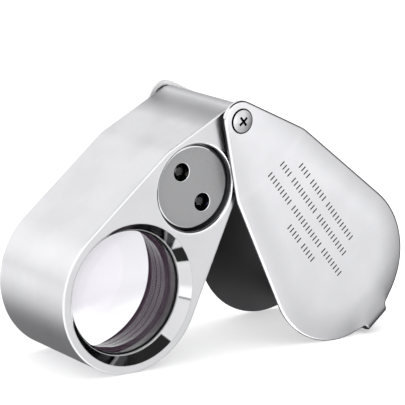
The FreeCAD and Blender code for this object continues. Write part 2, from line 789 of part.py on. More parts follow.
def make_swing_cover():
    """Two teardrop plates and the strap that joins them, bent from one sheet."""
    body = new_body("swing_cover", COVER_FRAME)
    thickness = PLATE_OUTSIDE * 2
    half_strap = size("strap_width") / 2
    reach = -size("strap_reach")
    inside_reach = reach + size("sheet_thickness")
    lobe = size("cover_lobe_radius")
    outline = sketch_on(body, "XY_Plane")
    draw_teardrop(outline, COVER_OUTLINE)
    pad(body, outline, thickness, both_ways=True)
    strap = sketch_on(body, "XY_Plane")
    draw_rectangle(strap, -half_strap, half_strap, reach, -COVER_OUTLINE["reach"])
    pad(body, strap, thickness, both_ways=True)

    root_y = -cover_reach - math.sqrt(lobe.value**2 - half_strap.value**2)
    round_edges(
        body,
        size("strap_root_radius"),
        lambda edge: lies_at(edge, "Y", root_y)
        and abs(abs(edge.CenterOfMass.x) - half_strap.value) < SAME,
    )
    outside = PLATE_OUTSIDE.value
    round_edges(
        body,
        size("strap_bend_radius"),
        lambda edge: lies_at(edge, "Y", reach.value) and lies_at(edge, "Z", outside, -outside),
    )
    inside = PLATE_INSIDE.value
    hollow = sketch_on(body, "YZ_Plane")
    draw_rectangle(hollow, inside_reach, COVER_OUTLINE["hinge"] * 2, -PLATE_INSIDE, PLATE_INSIDE)
    pocket_both_ways(body, hollow, lobe * 3)
    round_edges(
        body,
        size("strap_bend_radius") - size("sheet_thickness"),
        lambda edge: lies_at(edge, "Y", inside_reach.value) and lies_at(edge, "Z", inside, -inside),
    )
    round_edges(body, size("cover_edge_radius"), lambda edge: is_outer_cover_edge(edge, inside))
    head_bore = size("screw_head_radius") + size("screw_head_gap")
    shank_bore = size("screw_shank_radius") + 0.1
    for face, towards_front in ((PLATE_OUTSIDE, False), (-PLATE_OUTSIDE, True)):
        cut_circle(body, head_bore, face, size("screw_head_sink"), towards_front=towards_front)
        cut_circle(body, shank_bore, face, size("sheet_thickness"), towards_front=towards_front)


def is_outer_cover_edge(edge, inside):
    """True for the edges round the outside of the bent sheet, and not for its straight seams."""
    box = edge.BoundBox
    if box.XLength < SAME and box.YLength < SAME:
        return False
    outside = PLATE_OUTSIDE.value
    if lies_at(edge, "Z", outside, -outside):
        return box.YMax - box.YMin > SAME or box.XLength > size("strap_width").value + 1
    return False


def make_pivot_barrel():
    """The hinge shaft: tapped at both ends, with a flat that the switch leaf meets when shut."""
    body = new_body("pivot_barrel", COVER_FRAME)
    radius = size("pivot_radius")
    bore = size("screw_shank_radius") + PRESS_GAP
    disc(body, radius, -PLATE_INSIDE, PLATE_INSIDE)
    cut_circle(body, bore, PLATE_INSIDE, size("screw_shank_length"))
    cut_circle(body, bore, -PLATE_INSIDE, size("screw_shank_length"), towards_front=True)
    flat = sketch_on(body, "XY_Plane", BOARD_BACK + 0.6)
    flat_depth = 0.45
    flat_length = 1.6
    clear = radius + 1.1
    draw_rectangle(flat, -clear, clear, -clear, -(radius - flat_depth))
    pocket(body, flat, flat_length)


def make_pivot_screw(label, placement):
    """A low domed head with a cross recess, and a plain shank in place of the thread."""
    body = new_body(label, placement)
    seat = PLATE_OUTSIDE - size("screw_head_sink")
    head = size("screw_head_radius")
    shank = size("screw_shank_radius")
    rim = PLATE_OUTSIDE + size("screw_head_rise")
    crown = PLATE_OUTSIDE + size("screw_head_crown")
    end = seat - size("screw_shank_length")
    chamfer = 0.25
    revolve(
        body,
        [
            (0, end),
            (shank - chamfer, end),
            (shank, end + chamfer),
            (shank, seat),
            (head, seat),
            (head, rim),
            (0, crown),
        ],
        domes=(5,),
    )
    arm = size("screw_recess_arm")
    half = size("screw_recess_width") / 2
    cross = sketch_on(body, "XY_Plane", crown)
    corners = [(arm, -half), (arm, half), (half, half), (half, arm), (-half, arm), (-half, half)]
    corners += [(-x, -y) for x, y in corners]
    draw_profile(cross, corners)
    pocket(body, cross, size("screw_recess_depth"))


def make_friction_washer(label, placement):
    """A washer on the barrel, held in the gap between the housing and a cover plate."""
    body = new_body(label, placement)
    bore = size("pivot_radius") + CLEARANCE
    side_gap = 0.1
    disc(body, size("washer_radius"), HALF_DEPTH + side_gap, PLATE_INSIDE, holes=((bore,),))


make_lens_housing()
make_lens_barrel()
make_lens_spacer()
for side, frame in (("front", LENS_FRAME), ("rear", back_to_front(LENS_FRAME))):
    make_bezel_ring(f"{side}_bezel_ring", frame)
    make_retaining_ring(f"{side}_retaining_ring", frame)
    make_lens(f"{side}_lens", frame)

make_light_plate()
make_led("white_led", -1)
make_led("uv_led", 1)
make_led_board()
make_led_resistor()
make_battery_sleeve()
make_button_cells()
make_spring("board_contact_spring", CELLS_FRONT, size("board_spring_height"), 2.4, 2.0)
make_switch_leaf()

make_battery_cap()
make_cap_seal()
make_spring("cap_contact_spring", CAP_INSIDE, CELLS_REAR - CAP_INSIDE, 2.8, 2.5)

make_swing_cover()
make_pivot_barrel()
for side, frame in (("front", COVER_FRAME), ("rear", back_to_front(COVER_FRAME))):
    make_pivot_screw(f"{side}_pivot_screw", frame)
    make_friction_washer(f"{side}_friction_washer", frame)


# Check every object before anything is written.

doc.recompute()
for item in doc.Objects:
    if "Invalid" in item.State or "Error" in item.State:
        raise RuntimeError(f"{item.Label} failed: {item.State}")
for part in sub_parts:
    shape = part.Shape
    if shape.isNull() or not shape.isValid() or not shape.Solids:
        raise RuntimeError(f"{part.Label} is not a valid solid")
    print(f"{part.Label:24s} {len(shape.Solids)} solid, {shape.Volume:9.2f} mm3")

os.makedirs("parts", exist_ok=True)
for part in sub_parts:
    part.Shape.exportStep(f"parts/{part.Label}.step")

light_axis = CAP_FRAME.multVec(Vector(0, 0, 0))
cover_middle = COVER_FRAME.multVec(Vector(0, -cover_reach, 0))
for name, point in (("hinge", hinge_point), ("cap", light_axis), ("cover face", cover_middle)):
    print(f"{name} axis at x {point.x:.4f}, z {point.z:.4f}")
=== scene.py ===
import json
import math

import bmesh
import bpy
import numpy as np
from mathutils import Matrix, Vector


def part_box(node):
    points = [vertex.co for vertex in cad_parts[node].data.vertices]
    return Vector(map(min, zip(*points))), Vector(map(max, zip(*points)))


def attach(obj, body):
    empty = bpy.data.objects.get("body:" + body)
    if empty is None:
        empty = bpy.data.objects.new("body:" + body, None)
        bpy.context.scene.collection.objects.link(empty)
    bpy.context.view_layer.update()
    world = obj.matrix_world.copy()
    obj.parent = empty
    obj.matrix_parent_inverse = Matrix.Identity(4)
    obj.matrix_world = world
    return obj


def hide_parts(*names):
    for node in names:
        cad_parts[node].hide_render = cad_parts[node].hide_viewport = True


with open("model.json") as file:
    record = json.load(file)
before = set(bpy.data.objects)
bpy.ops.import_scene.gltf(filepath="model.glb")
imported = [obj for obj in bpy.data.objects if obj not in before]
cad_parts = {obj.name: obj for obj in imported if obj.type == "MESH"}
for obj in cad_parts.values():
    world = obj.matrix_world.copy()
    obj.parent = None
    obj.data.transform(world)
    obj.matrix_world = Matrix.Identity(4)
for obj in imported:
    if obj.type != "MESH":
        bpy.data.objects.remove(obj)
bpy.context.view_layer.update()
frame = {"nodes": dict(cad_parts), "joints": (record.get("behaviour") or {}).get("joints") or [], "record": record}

MM = 0.001

# ---------------------------------------------------------------- camera

# The camera was solved from the photograph. It stands this far from a point on the hinge screw, which
# it sees to the right of and above the middle of its frame.
SIGHT = Vector((-1.731, -11.6, 47.58)) * MM
SIGHT_RIGHT = 6.536 * MM
SIGHT_UP = 15.970 * MM
DISTANCE = 446.0755 * MM
FOCAL_LENGTH = 205.88
azimuth = math.radians(35.8752)
elevation = math.radians(12.841)
roll = math.radians(1.7313)
forward = Vector(
    (
        math.sin(azimuth) * math.cos(elevation),
        math.cos(azimuth) * math.cos(elevation),
        -math.sin(elevation),
    )
)
level_right = Vector((math.cos(azimuth), -math.sin(azimuth), 0))
level_up = level_right.cross(forward)
right = level_right * math.cos(roll) + level_up * math.sin(roll)
up = level_up * math.cos(roll) - level_right * math.sin(roll)
spot = SIGHT - right * SIGHT_RIGHT - up * SIGHT_UP - forward * DISTANCE

camera_data = bpy.data.cameras.new("camera")
camera_data.sensor_width = 36.0
camera_data.lens = FOCAL_LENGTH
camera_data.clip_start = 0.01
camera_data.clip_end = 100.0
camera = bpy.data.objects.new("camera", camera_data)
turn = Matrix((right, up, -forward)).transposed().to_4x4()
camera.matrix_world = Matrix.Translation(spot) @ turn
bpy.context.scene.collection.objects.link(camera)
bpy.context.scene.camera = camera
bpy.context.scene.view_settings.view_transform = "Standard"


# ---------------------------------------------------------------- where things are


def centre(node):
    """The middle of a CAD node's box."""
    low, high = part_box(node)
    return (low + high) / 2


swing = next(joint for joint in frame["joints"] if joint["name"] == "cover_swing")
face = next(mount for mount in frame["record"]["mounts"] if mount["name"] == "front_cover_face")
HINGE = Vector(swing["pos_m"])
LOBE = Vector((face["pos_m"][0], 0, face["pos_m"][2]))
DOWN = (LOBE - HINGE).normalized()
ACROSS = Vector((-DOWN.z, 0, DOWN.x))
OPTICAL = centre("front_lens")
LIGHTS = centre("led_plate")


# ---------------------------------------------------------------- node helpers


class Nodes:
    """Short names for building one node tree."""

    def __init__(self, tree):
        self.tree = tree
        tree.nodes.clear()

    def add(self, kind, inputs=None, **settings):
        node = self.tree.nodes.new(kind)
        for name, value in settings.items():
            setattr(node, name, value)
        for key, value in (inputs or {}).items():
            self.feed(node.inputs[key], value)
        return node

    def feed(self, socket, value):
        if isinstance(value, bpy.types.NodeSocket):
            self.tree.links.new(value, socket)
        else:
            socket.default_value = value

    def math(self, operation, *values, clamp=False):
        node = self.add("ShaderNodeMath", operation=operation, use_clamp=clamp)
        for number, value in enumerate(values):
            self.feed(node.inputs[number], value)
        return node.outputs[0]

    def ramp(self, value, low, high, start=0.0, stop=1.0, smooth=True):
        """value between low and high becomes start to stop."""
        node = self.add("ShaderNodeMapRange", clamp=True)
        node.interpolation_type = "SMOOTHSTEP" if smooth else "LINEAR"
        for name, number in (
            ("Value", value),
            ("From Min", low),
            ("From Max", high),
            ("To Min", start),
            ("To Max", stop),
        ):
            self.feed(node.inputs[name], number)
        return node.outputs[0]

    def mix(self, factor, first, second):
        """The first colour where the factor is 0, and the second where it is 1."""
        node = self.add("ShaderNodeMix", data_type="RGBA")
        self.feed(node.inputs[0], factor)
        self.feed(node.inputs[6], first)
        self.feed(node.inputs[7], second)
        return node.outputs[2]

    def noise(self, place, size, detail=2.0, roughness=0.5):
        """Clouds of about this size in millimetres, from 0 to 1."""
        node = self.add(
            "ShaderNodeTexNoise",
            {"Vector": place, "Scale": 1 / (size * MM), "Detail": detail, "Roughness": roughness},
        )
        return node.outputs[0]

    def bump(self, height, strength, distance):
        """A bump node for a height, with the distance in millimetres."""
        inputs = {"Height": height, "Strength": strength, "Distance": distance * MM}
        return self.add("ShaderNodeBump", inputs)

    def principled(self, inputs):
        """The tree's one shader, joined to the material's output."""
        self.output(self.add("ShaderNodeBsdfPrincipled", inputs), "ShaderNodeOutputMaterial")

    def output(self, shader, kind):
        out = self.add(kind)
        self.tree.links.new(shader.outputs[0], out.inputs[0])


def grey(level):
    return (level, level, level, 1.0)


def dimmed(colour, factor):
    return tuple(channel * factor for channel in colour[:3]) + (1.0,)


def new_material(name):
    material = bpy.data.materials.new(name)
    material.use_nodes = True
    return material, Nodes(material.node_tree)


def object_place(nodes):
    """The CAD frame's own coordinates, in metres, which move with the body."""
    return nodes.add("ShaderNodeTexCoord").outputs["Object"]


def metal(name, colour, roughness, grain, grain_size):
    """Plated or bare metal: grain in the bump, smudges in the roughness, faint clouds in the colour."""
    smudge = 0.03
    material, nodes = new_material(name)
    place = object_place(nodes)
    clouds = nodes.noise(place, 9, 3.0)
    fine = nodes.noise(place, grain_size, 2.0, 0.6)
    base = nodes.mix(nodes.ramp(clouds, 0.35, 0.65), dimmed(colour, 0.96), colour)
    rough = nodes.ramp(clouds, 0.3, 0.7, roughness - smudge, roughness)
    rough = nodes.math("ADD", rough, nodes.ramp(fine, 0.3, 0.7, 0.0, smudge))
    bump = nodes.bump(fine, grain, 0.02)
    nodes.principled(
        {"Base Color": base, "Metallic": 1.0, "Roughness": rough, "Normal": bump.outputs[0]}
    )
    return material


def coated(name, colour, roughness, grain=0.1, grain_size=0.2, specular=0.5):
    """Plastic, rubber, lacquer or anodising: a dielectric with mottled colour and grain."""
    material, nodes = new_material(name)
    place = object_place(nodes)
    clouds = nodes.noise(place, 2.5, 3.0)
    fine = nodes.noise(place, grain_size, 2.0, 0.6)
    base = nodes.mix(nodes.ramp(clouds, 0.3, 0.7), dimmed(colour, 0.75), colour)
    rough = nodes.ramp(fine, 0.3, 0.7, roughness - 0.05, roughness + 0.05)
    bump = nodes.bump(fine, grain, 0.02)
    nodes.principled(
        {
            "Base Color": base,
            "Roughness": rough,
            "Specular IOR Level": specular,
            "Normal": bump.outputs[0],
        }
    )
    return material


def barrel_wall(name, dark, pale):
    """Glossy black lacquer with soft turned bands along the barrel."""
    material, nodes = new_material(name)
    place = object_place(nodes)
    parts = nodes.add("ShaderNodeSeparateXYZ", {"Vector": place}).outputs
    along = nodes.add("ShaderNodeCombineXYZ", {1: parts[1]}).outputs[0]
    bands = nodes.noise(along, 1.6, 3.0, 0.6)
    clouds = nodes.noise(place, 6)
    mixed = nodes.math("MULTIPLY", nodes.math("ADD", bands, clouds), 0.5)
    base = nodes.mix(nodes.ramp(mixed, 0.35, 0.65), dark, pale)
    rough = nodes.ramp(clouds, 0.3, 0.7, 0.07, 0.14)
    bump = nodes.bump(bands, 0.12, 0.05)
    nodes.principled({"Base Color": base, "Roughness": rough, "IOR": 1.38, "Normal": bump.outputs[0]})
    return material


def glass(name, colour, index, roughness=0.0, coating=grey(1.0)):
    """Clear glass or plastic with faint smears; coating tints and weakens what its faces reflect."""
    material, nodes = new_material(name)
    place = object_place(nodes)
    smears = nodes.noise(place, 4)
    rough = nodes.ramp(smears, 0.55, 0.8, roughness, roughness + 0.01)
    nodes.principled(
        {
            "Base Color": colour,
            "Roughness": rough,
            "IOR": index,
            "Specular Tint": coating,
            "Transmission Weight": 1.0,
        }
    )
    return material


def round_distance(nodes, place, axis_point):
    """Distance in millimetres from an axis along Y through the point."""
    parts = nodes.add("ShaderNodeSeparateXYZ", {"Vector": place}).outputs
    dx = nodes.math("SUBTRACT", parts[0], axis_point.x)
    dz = nodes.math("SUBTRACT", parts[2], axis_point.z)
    square = nodes.math("ADD", nodes.math("MULTIPLY", dx, dx), nodes.math("MULTIPLY", dz, dz))
    return nodes.math("MULTIPLY", nodes.math("SQRT", square), 1000.0)


def depth(nodes, place):
    """Distance in millimetres from the middle plane, in either direction along Y."""
    parts = nodes.add("ShaderNodeSeparateXYZ", {"Vector": place}).outputs
    return nodes.math("MULTIPLY", nodes.math("ABSOLUTE", parts[1]), 1000.0)


def faces_along(nodes):
    """1 where the surface faces along Y, either way, and 0 where it faces across it."""
    facing = nodes.add("ShaderNodeTexCoord").outputs["Normal"]
    parts = nodes.add("ShaderNodeSeparateXYZ", {"Vector": facing}).outputs
    return nodes.math("ABSOLUTE", parts[1])


def two_finishes(name, first, second, mask, matte_and_painted_highlight=None, form=None, matte=grey(0.86)):
    """A plated surface with two finishes: (colour, roughness) each, and mask(nodes, place) from 0 to 1.
    matte_and_painted_highlight(nodes, place) marks matte places, which scatter the light; pale ones are
    painted highlights. form(nodes, place) gives a normal that bends the reflections."""
    material, nodes = new_material(name)
    place = object_place(nodes)
    clouds = nodes.noise(place, 9, 3.0)
    fine = nodes.noise(place, 0.12, 2.0, 0.6)
    where = mask(nodes, place)
    colour = nodes.mix(where, first[0], second[0])
    colour = nodes.mix(nodes.ramp(clouds, 0.35, 0.65, 0.0, 0.04), colour, grey(0.0))
    rough = nodes.ramp(where, 0.0, 1.0, first[1], second[1], smooth=False)
    rough = nodes.math("MULTIPLY", rough, nodes.ramp(clouds, 0.3, 0.7, 0.9, 1.05))
    rough = nodes.math("MULTIPLY", rough, nodes.ramp(fine, 0.3, 0.7, 0.92, 1.08))
    bump = nodes.bump(fine, 0.05, 0.02)
    if form:
        nodes.feed(bump.inputs["Normal"], form(nodes, place))
    metallic = 1.0
    # Matte places take the matte colour; where it is pale they are painted highlights.
    if matte_and_painted_highlight:
        amount = matte_and_painted_highlight(nodes, place)
        colour = nodes.mix(amount, colour, matte)
        metallic = nodes.math("SUBTRACT", 1.0, amount)
    nodes.principled(
        {"Base Color": colour, "Metallic": metallic, "Roughness": rough, "Normal": bump.outputs[0]}
    )
    return material


# Where one finish blends into the next, and where painted shade and painted highlights start: two distances in
# millimetres, from an axis or, for the last two, from the middle plane.
LIGHT_RIM = (9.2, 9.05)
CLEAR_OF_LIGHTS = (9.3, 9.5)
CLEAR_OF_BEZEL = (14.8, 15.0)
BEZEL_BORE = (12.44, 12.36)
PLATE_EDGE = (7.78, 7.86)
LIGHT_HOLE_RIM = (1.9, 1.87)
# From this reach away from the hinge, the cover's inner faces are painted dark: painted shade.
DARK_INSIDE_START = (6.5, 10.0)
COUNTERBORE = (2.52, 2.47)
# Near the hinge the rear plate's inner face is painted matte and pale: a painted highlight.
BRIGHT_HINGE_END = (6.0, 4.5)
SCREW_RECESS = (1.6, 1.5)
COVER_INNER_FACE = (12.50, 12.47)
SCREW_RECESS_TOP = (13.75, 13.65)

# The bump on the housing's wall beside the hinge: its reach from the hinge axis, in millimetres, and
# the slope that it would have at the axis
CROWN_REACH = 9.0
CROWN_SLOPE = 1.0


def near_light_rim(nodes, place):
    """The polished rim round the light plate's recess."""
    return nodes.ramp(round_distance(nodes, place, LIGHTS), *LIGHT_RIM)


def painted_edge_highlight(nodes, place):
    """The rounded outline of the housing's two faces, painted matte and pale: a painted highlight along the edges.
    """
    tilt = faces_along(nodes)
    rounded = nodes.math("MULTIPLY", nodes.ramp(tilt, 0.1, 0.4), nodes.ramp(tilt, 0.97, 0.85))
    clear = nodes.math(
        "MULTIPLY",
        nodes.ramp(round_distance(nodes, place, LIGHTS), *CLEAR_OF_LIGHTS),
        nodes.ramp(round_distance(nodes, place, OPTICAL), *CLEAR_OF_BEZEL),
    )
    return nodes.math("MULTIPLY", nodes.math("MULTIPLY", rounded, clear), 0.75)


def crowned_wall(nodes, place):
    """A bump that tips the outer wall more and more within CROWN_REACH of the hinge axis. It stands
    for a crowned edge, but tips the reflections further than a real one would."""
    wall = nodes.ramp(faces_along(nodes), 0.5, 0.2)
    away = nodes.math("MINIMUM", round_distance(nodes, place, HINGE), CROWN_REACH)
    square = nodes.math("MULTIPLY", nodes.math("MULTIPLY", away, away), 0.5 / CROWN_REACH)
    height = nodes.math("MULTIPLY", nodes.math("SUBTRACT", away, square), CROWN_SLOPE * MM)
    bump = nodes.add("ShaderNodeBump", {"Height": height, "Strength": wall, "Distance": 1.0})
    return bump.outputs[0]


def bore_finish_and_highlight(nodes, place):
    """The inner edge of a bezel ring, where the finish is rougher and is also painted matte and pale: a painted
    highlight.
    """
    return nodes.ramp(round_distance(nodes, place, OPTICAL), *BEZEL_BORE, 0.0, 0.6)


def light_face(nodes, place):
    """The light plate's matte face."""
    return nodes.math("MULTIPLY", nodes.math("SUBTRACT", 1.0, outside_light_face(nodes, place)), 0.85)


def outside_light_face(nodes, place):
    """The light plate's rounded edge and the rims of its holes."""
    edge = nodes.ramp(round_distance(nodes, place, LIGHTS), *PLATE_EDGE)
    for led in ("white_led", "uv_led"):
        rim = nodes.ramp(round_distance(nodes, place, centre(led)), *LIGHT_HOLE_RIM)
        edge = nodes.math("MAXIMUM", edge, rim)
    return edge


def painted_dark_inside_cover(nodes, place):
    """Painted shade on the cover's chrome: its inner faces away from the hinge painted dark, and the floor and
    wall of the counterbore round each screw painted dark as a painted shadow.
    """
    inner = nodes.ramp(depth(nodes, place), *COVER_INNER_FACE)
    away_from_hinge = nodes.ramp(round_distance(nodes, place, HINGE), *DARK_INSIDE_START)
    painted_shade = nodes.math("MULTIPLY", inner, away_from_hinge)
    counterbore = nodes.ramp(round_distance(nodes, place, HINGE), *COUNTERBORE)
    return nodes.math("MAXIMUM", painted_shade, counterbore)


def painted_bright_hinge_end(nodes, place):
    """The inner face of the rear cover plate's hinge end, painted matte and pale: a painted highlight."""
    parts = nodes.add("ShaderNodeSeparateXYZ", {"Vector": place}).outputs
    inner = nodes.ramp(depth(nodes, place), *COVER_INNER_FACE)
    rear = nodes.math("GREATER_THAN", parts[1], 0.0)
    near = nodes.ramp(round_distance(nodes, place, HINGE), *BRIGHT_HINGE_END, 0.0, 0.85)
    return nodes.math("MULTIPLY", nodes.math("MULTIPLY", inner, rear), near)


def painted_recess_shade(nodes, place):
    """The cross recess in a hinge screw's head, painted dark: painted shade."""
    near = nodes.ramp(round_distance(nodes, place, HINGE), *SCREW_RECESS)
    low = nodes.ramp(depth(nodes, place), *SCREW_RECESS_TOP)
    return nodes.math("MULTIPLY", near, low)


# The housing's rounded edges are painted matte and pale: a painted highlight.
HOUSING = two_finishes(
    "satin_chrome",
    ((0.80, 0.80, 0.825, 1), 0.32),
    ((0.9, 0.9, 0.92, 1), 0.05),
    near_light_rim,
    painted_edge_highlight,
    crowned_wall,
)
# The bezel's bore is painted matte and pale: a painted highlight.
BEZEL = two_finishes(
    "mirror_chrome", ((0.92, 0.92, 0.94, 1), 0.04), ((0.9, 0.9, 0.92, 1), 0.1), bore_finish_and_highlight, bore_finish_and_highlight
)
# The cover's dark second finish is painted shade on its inner faces and a painted shadow in the counterbores.
COVER = two_finishes(
    "cover_chrome",
    ((0.88, 0.88, 0.91, 1), 0.17),
    ((0.075, 0.075, 0.078, 1), 0.42),
    painted_dark_inside_cover,
    painted_bright_hinge_end,
)
PLATE = two_finishes(
    "plate_metal",
    ((0.44, 0.44, 0.45, 1), 0.3),
    ((0.88, 0.88, 0.9, 1), 0.05),
    outside_light_face,
    light_face,
    matte=(0.27, 0.27, 0.275, 1),
)
# The screw's cross recess is painted dark: painted shade.
SCREW = two_finishes(
    "screw_steel", ((0.72, 0.72, 0.74, 1), 0.14), ((0.03, 0.03, 0.03, 1), 0.3), painted_recess_shade
)
STEEL = metal("turned_steel", (0.55, 0.55, 0.56, 1), 0.3, 0.1, 0.1)
CELL = metal("cell_steel", (0.75, 0.75, 0.74, 1), 0.25, 0.1, 0.1)
SPRING = metal("spring_steel", (0.7, 0.7, 0.7, 1), 0.2, 0.05, 0.1)
BRASS = metal("leaf_brass", (0.78, 0.6, 0.3, 1), 0.25, 0.1, 0.1)
CAP = metal("cap_metal", (0.7, 0.7, 0.72, 1), 0.28, 0.1, 0.12)
BLACK = coated("black_anodised", (0.004, 0.004, 0.005, 1), 0.4, specular=0.12)
WALL = barrel_wall("barrel_gloss", (0.01, 0.007, 0.0095, 1), (0.02, 0.016, 0.0195, 1))
GROUND = barrel_wall("ground_glass_edge", (0.12, 0.09, 0.115, 1), (0.17, 0.14, 0.165, 1))
LAMINATE = coated("board_laminate", (0.03, 0.16, 0.07, 1), 0.35)
CUP = metal("led_cup", (0.34, 0.34, 0.35, 1), 0.15, 0.02, 0.05)
RESISTOR = coated("resistor_body", (0.03, 0.03, 0.03, 1), 0.4)
SLEEVE = coated("sleeve_plastic", (0.04, 0.04, 0.042, 1), 0.5)
RUBBER = coated("seal_rubber", (0.015, 0.015, 0.015, 1), 0.6)
WASHER = coated("washer_plastic", (0.03, 0.03, 0.033, 1), 0.5)
LENS = glass("optical_glass", (0.99, 0.99, 1.0, 1), 1.52, coating=(0.45, 0.25, 0.42, 1))
LED = glass("led_clear", (0.4, 0.4, 0.42, 1), 1.5, 0.02)
VIOLET = glass("led_violet", (0.3, 0.26, 0.38, 1), 1.5, 0.02)

SLOTS = {
    "housing_chrome": HOUSING,
    "bezel_chrome": BEZEL,
    "cover_chrome": COVER,
    "black_anodised": BLACK,
    "barrel_gloss": WALL,
    "optical_glass": LENS,
    "plate_metal": PLATE,
    "led_clear": LED,
    "led_violet": VIOLET,
    "board_laminate": LAMINATE,
    "resistor_body": RESISTOR,
    "sleeve_plastic": SLEEVE,
    "cell_steel": CELL,
    "spring_steel": SPRING,
    "leaf_brass": BRASS,
    "cap_metal": CAP,
    "seal_rubber": RUBBER,
    "barrel_steel": STEEL,
    "screw_steel": SCREW,
    "washer_plastic": WASHER,
}

NODE_SLOTS = {
    "lens_housing": "housing_chrome",
    "lens_barrel": "black_anodised",
    "lens_spacer": "barrel_gloss",
    "front_bezel_ring": "bezel_chrome",
    "rear_bezel_ring": "bezel_chrome",
    "front_retaining_ring": "black_anodised",
    "rear_retaining_ring": "black_anodised",
    "front_lens": "optical_glass",
    "rear_lens": "optical_glass",
    "led_plate": "plate_metal",
    "white_led": "led_clear",
    "uv_led": "led_violet",
    "led_board": "board_laminate",
    "led_resistor": "resistor_body",
    "battery_sleeve": "sleeve_plastic",
    "button_cell_front": "cell_steel",
    "button_cell_middle": "cell_steel",
    "button_cell_rear": "cell_steel",
    "board_contact_spring": "spring_steel",
    "cap_contact_spring": "spring_steel",
    "switch_leaf": "leaf_brass",
    "battery_cap": "cap_metal",
    "cap_seal_ring": "seal_rubber",
    "swing_cover": "cover_chrome",
    "pivot_barrel": "barrel_steel",
    "front_pivot_screw": "screw_steel",
    "rear_pivot_screw": "screw_steel",
    "front_friction_washer": "washer_plastic",
    "rear_friction_washer": "washer_plastic",
}

for node, slot in NODE_SLOTS.items():
    mesh = frame["nodes"][node].data
    mesh.materials.clear()
    mesh.materials.append(SLOTS[slot])

# ---------------------------------------------------------------- lenses


def new_piece(name, mesh_data, materials, body, replaced=()):
    """A piece of its own that rides on a body, and may replace CAD nodes in the render."""
    piece = bpy.data.objects.new(name, mesh_data)
    bpy.context.scene.collection.objects.link(piece)
    for material in materials:
        mesh_data.materials.append(material)
    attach(piece, body)
    if replaced:
        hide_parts(*replaced)
    return piece


def turned_mesh(name, profile, origin, facing, steps=128):
    """Turns (radius, height, material) points about the lens axis; height runs towards the facing
    side. A point on the axis closes its end."""
    shape = bmesh.new()
    rings = []
    for radius, height, _ in profile:
        if radius == 0:
            rings.append([shape.verts.new(origin + Vector((0, facing * height, 0)))])
            continue
        ring = []
        for step in range(steps):
            angle = 2 * math.pi * step / steps
            offset = Vector((radius * math.cos(angle), facing * height, radius * math.sin(angle)))
            ring.append(shape.verts.new(origin + offset))
        rings.append(ring)
    for number in range(len(rings) - 1):
        near, far = rings[number], rings[number + 1]
        for step in range(steps):
            after = (step + 1) % steps
            if len(near) == 1:
                corners = (near[0], far[step], far[after])
            elif len(far) == 1:
                corners = (near[step], far[0], near[after])
            else:
                corners = (near[step], far[step], far[after], near[after])
            made = shape.faces.new(corners)
            made.smooth = True
            made.material_index = profile[number][2]
    bmesh.ops.recalc_face_normals(shape, faces=shape.faces)
    mesh_data = bpy.data.meshes.new(name)
    shape.to_mesh(mesh_data)
    shape.free()
    mesh_data.set_sharp_from_angle(angle=math.radians(25))
    return mesh_data


# An element's radius, the heights of its flat face and of its dome's rim above the middle plane, and
# the dome's radius, in millimetres
LENS_RADIUS = 12.45
LENS_FACE = 8.5
LENS_RIM = 3.7
LENS_CURVE = 40.0


def lens_profile():
    """A plano-convex element: flat polished face, ground edge with small bevels, domed face."""
    radius, face_height, rim, curve, bevel = LENS_RADIUS, LENS_FACE, LENS_RIM, LENS_CURVE, 0.12
    points = [(0, face_height, 0)]
    points += [(radius * part / 6, face_height, 0) for part in range(1, 6)]
    points += [(radius - bevel, face_height, 1), (radius, face_height - bevel, 1)]
    points += [(radius, rim + bevel, 1)]
    start = math.asin((radius - bevel) / curve)
    middle = rim + math.sqrt(curve**2 - radius**2)
    for part in range(24):
        angle = start * (1 - part / 24)
        points.append((curve * math.sin(angle), middle - curve * math.cos(angle), 0))
    points.append((0, middle - curve, 0))
    return [(across * MM, height * MM, material) for across, height, material in points]


axis_origin = Vector((OPTICAL.x, 0, OPTICAL.z))
for side, facing in (("front", -1), ("rear", 1)):
    lens_data = turned_mesh(f"{side}_element", lens_profile(), axis_origin, facing)
    new_piece(f"{side}_element", lens_data, (LENS, GROUND), "housing", (f"{side}_lens",))

# ---------------------------------------------------------------- cover

# The cover's outline: the radii of its round parts, the reach from hinge to lobe in millimetres, and
# the angles of the straight sides beside the hinge and below the shoulder
OUTLINE = {"hinge": 3.9, "shoulder": 8.4, "lobe": 16.4, "reach": 40.5}
FLARE = math.radians(25.8)
FLANK = math.radians(13.1)
# How far the outer faces fall at their edge and over what width, and how far they curl in at the strap
PILLOW_DROP = 0.62
PILLOW_REACH = 7.0
CURL_DROP = 0.36
CURL_START = 50.0
STRAP_DOWN = 58.5
GRID_SPACING = 0.9


def outline_circles():
    """(across, down, radius) of the circles whose hull is the cover's outline, in millimetres."""
    flare_reach = OUTLINE["hinge"] - OUTLINE["shoulder"]
    flank_reach = OUTLINE["lobe"] - OUTLINE["shoulder"] - OUTLINE["reach"] * math.sin(FLANK)
    turn_sine = math.sin(FLANK - FLARE)
    x = (flare_reach * math.sin(FLANK) - flank_reach * math.sin(FLARE)) / turn_sine
    y = (flank_reach * math.cos(FLARE) - flare_reach * math.cos(FLANK)) / turn_sine
    return (
        (0, 0, OUTLINE["hinge"]),
        (x, -y, OUTLINE["shoulder"]),
        (-x, -y, OUTLINE["shoulder"]),
        (0, OUTLINE["reach"], OUTLINE["lobe"]),
    )


def inset(across, down, circles, directions=360):
    """How far points lie inside the hull of the circles."""
    best = np.full(len(across), 1e9)
    for number in range(directions):
        angle = 2 * math.pi * number / directions
        cosine, sine = math.cos(angle), math.sin(angle)
        support = max(x * cosine + y * sine + r for x, y, r in circles)
        best = np.minimum(best, support - across * cosine - down * sine)
    return np.maximum(best, 0.0)


